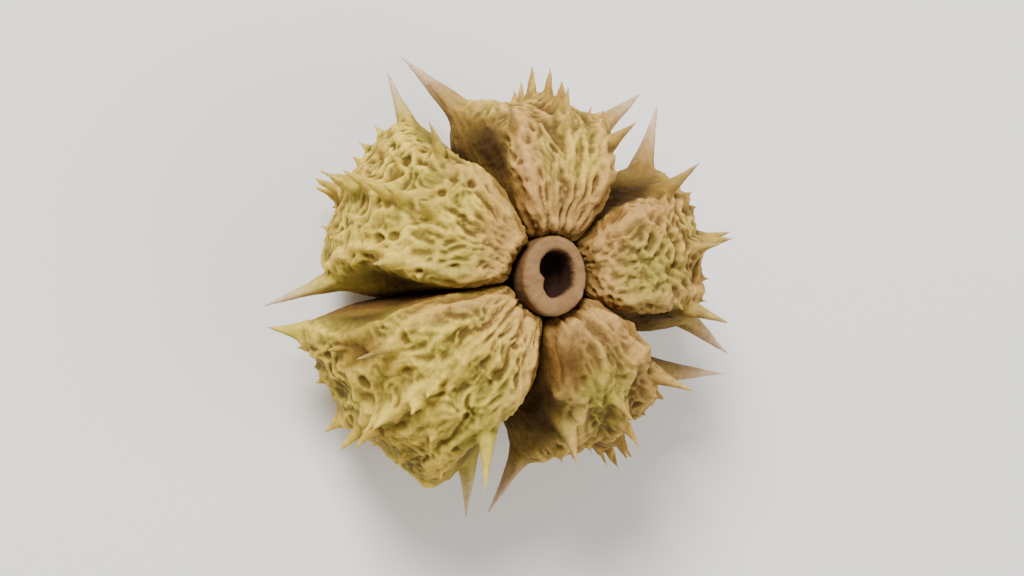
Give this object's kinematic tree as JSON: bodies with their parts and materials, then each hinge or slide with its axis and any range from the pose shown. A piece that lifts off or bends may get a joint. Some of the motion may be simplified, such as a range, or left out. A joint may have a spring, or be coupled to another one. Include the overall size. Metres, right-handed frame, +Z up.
{
  "type": "puncturevine fruit",
  "caption": "Dried puncturevine fruit: spiny, netted nutlets standing round the stump of the stalk, lying on its tip with the stalk end up.",
  "frame": {"origin": "on the fruit's axis, at the plane it rests on, under the middle of its box to within half a millimetre", "axes": "+Z up along the fruit's axis, towards the stalk end; +X to the right and +Y to the top of the picture, in the plane the fruit rests on"},
  "size_m": [0.0115, 0.0109, 0.0062],
  "materials": {
    "dry_rind": "dry, matt, netted rind, straw to yellow-green with brown pits and splits and pale pinkish spine tips",
    "dry_stalk": "dry, matt, fibrous stalk end, pinkish tan with a dark brown hole"
  },
  "bodies": {
    "root": {"nutlet_1": "dry_rind", "nutlet_2": "dry_rind", "nutlet_3": "dry_rind", "nutlet_4": "dry_rind", "nutlet_5": "dry_rind", "stalk_stump": "dry_stalk"}
  },
  "joints": []
}
